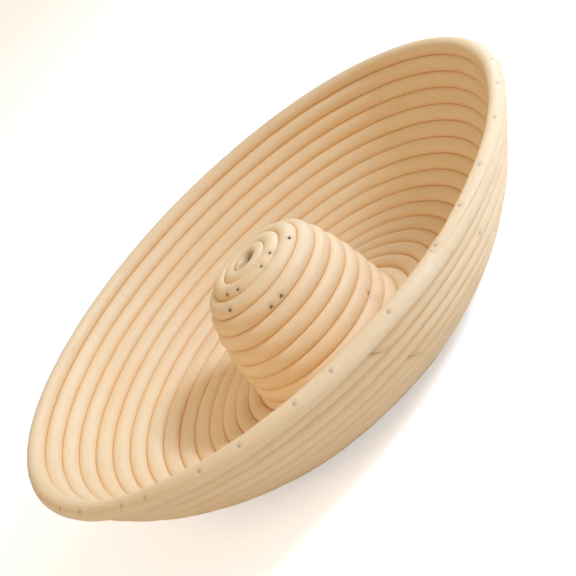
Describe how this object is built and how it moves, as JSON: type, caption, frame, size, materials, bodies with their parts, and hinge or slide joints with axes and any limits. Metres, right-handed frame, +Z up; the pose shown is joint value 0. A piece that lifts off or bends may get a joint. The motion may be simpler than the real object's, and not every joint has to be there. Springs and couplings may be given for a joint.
{
  "type": "banneton basket",
  "caption": "Round bread-proving basket wound from one line of round peeled cane, with a tall central dome that shapes dough into a ring; coils are held by thin wire nails.",
  "frame": {"origin": "in the resting plane, at the centre of the outer box", "axes": "+Z up out of the open side, along the dome and bowl axis; +X and +Y across the round rim, with the free end of the rim cane towards +X -Y"},
  "size_m": [0.281, 0.2788, 0.0676],
  "materials": {
    "peeled_cane": "unvarnished peeled rattan, fine lengthwise grain, dry satin",
    "wire_nail": "dull grey-brown wire, slightly tarnished"
  },
  "bodies": {
    "root": {"dome_cane": "peeled_cane", "floor_cane": "peeled_cane", "lower_wall_cane": "peeled_cane", "middle_wall_cane": "peeled_cane", "upper_wall_cane": "peeled_cane", "rim_cane": "peeled_cane", "rim_nail_01": "wire_nail", "rim_nail_02": "wire_nail", "rim_nail_03": "wire_nail", "rim_nail_04": "wire_nail", "rim_nail_05": "wire_nail", "rim_nail_06": "wire_nail", "rim_nail_07": "wire_nail", "rim_nail_08": "wire_nail", "rim_nail_09": "wire_nail", "rim_nail_10": "wire_nail", "rim_nail_11": "wire_nail", "rim_nail_12": "wire_nail", "rim_nail_13": "wire_nail", "rim_nail_14": "wire_nail", "rim_nail_15": "wire_nail", "rim_nail_16": "wire_nail", "rim_nail_17": "wire_nail", "rim_nail_18": "wire_nail", "rim_nail_19": "wire_nail", "rim_nail_20": "wire_nail", "rim_nail_21": "wire_nail", "rim_nail_22": "wire_nail", "rim_nail_23": "wire_nail", "rim_nail_24": "wire_nail", "rim_nail_25": "wire_nail", "rim_nail_26": "wire_nail", "rim_nail_27": "wire_nail", "rim_nail_28": "wire_nail", "rim_nail_29": "wire_nail", "rim_nail_30": "wire_nail", "rim_nail_31": "wire_nail", "rim_nail_32": "wire_nail", "rim_nail_33": "wire_nail", "rim_nail_34": "wire_nail", "dome_nail_01": "wire_nail", "dome_nail_02": "wire_nail", "dome_nail_03": "wire_nail", "dome_nail_04": "wire_nail", "dome_nail_05": "wire_nail", "dome_nail_06": "wire_nail", "dome_nail_07": "wire_nail", "dome_nail_08": "wire_nail", "dome_nail_09": "wire_nail", "wall_nail_01": "wire_nail", "joint_nail_01": "wire_nail", "joint_nail_02": "wire_nail", "joint_nail_03": "wire_nail", "joint_nail_04": "wire_nail", "joint_nail_05": "wire_nail", "joint_nail_06": "wire_nail", "joint_nail_07": "wire_nail", "joint_nail_08": "wire_nail", "joint_nail_09": "wire_nail", "joint_nail_10": "wire_nail"}
  },
  "joints": []
}
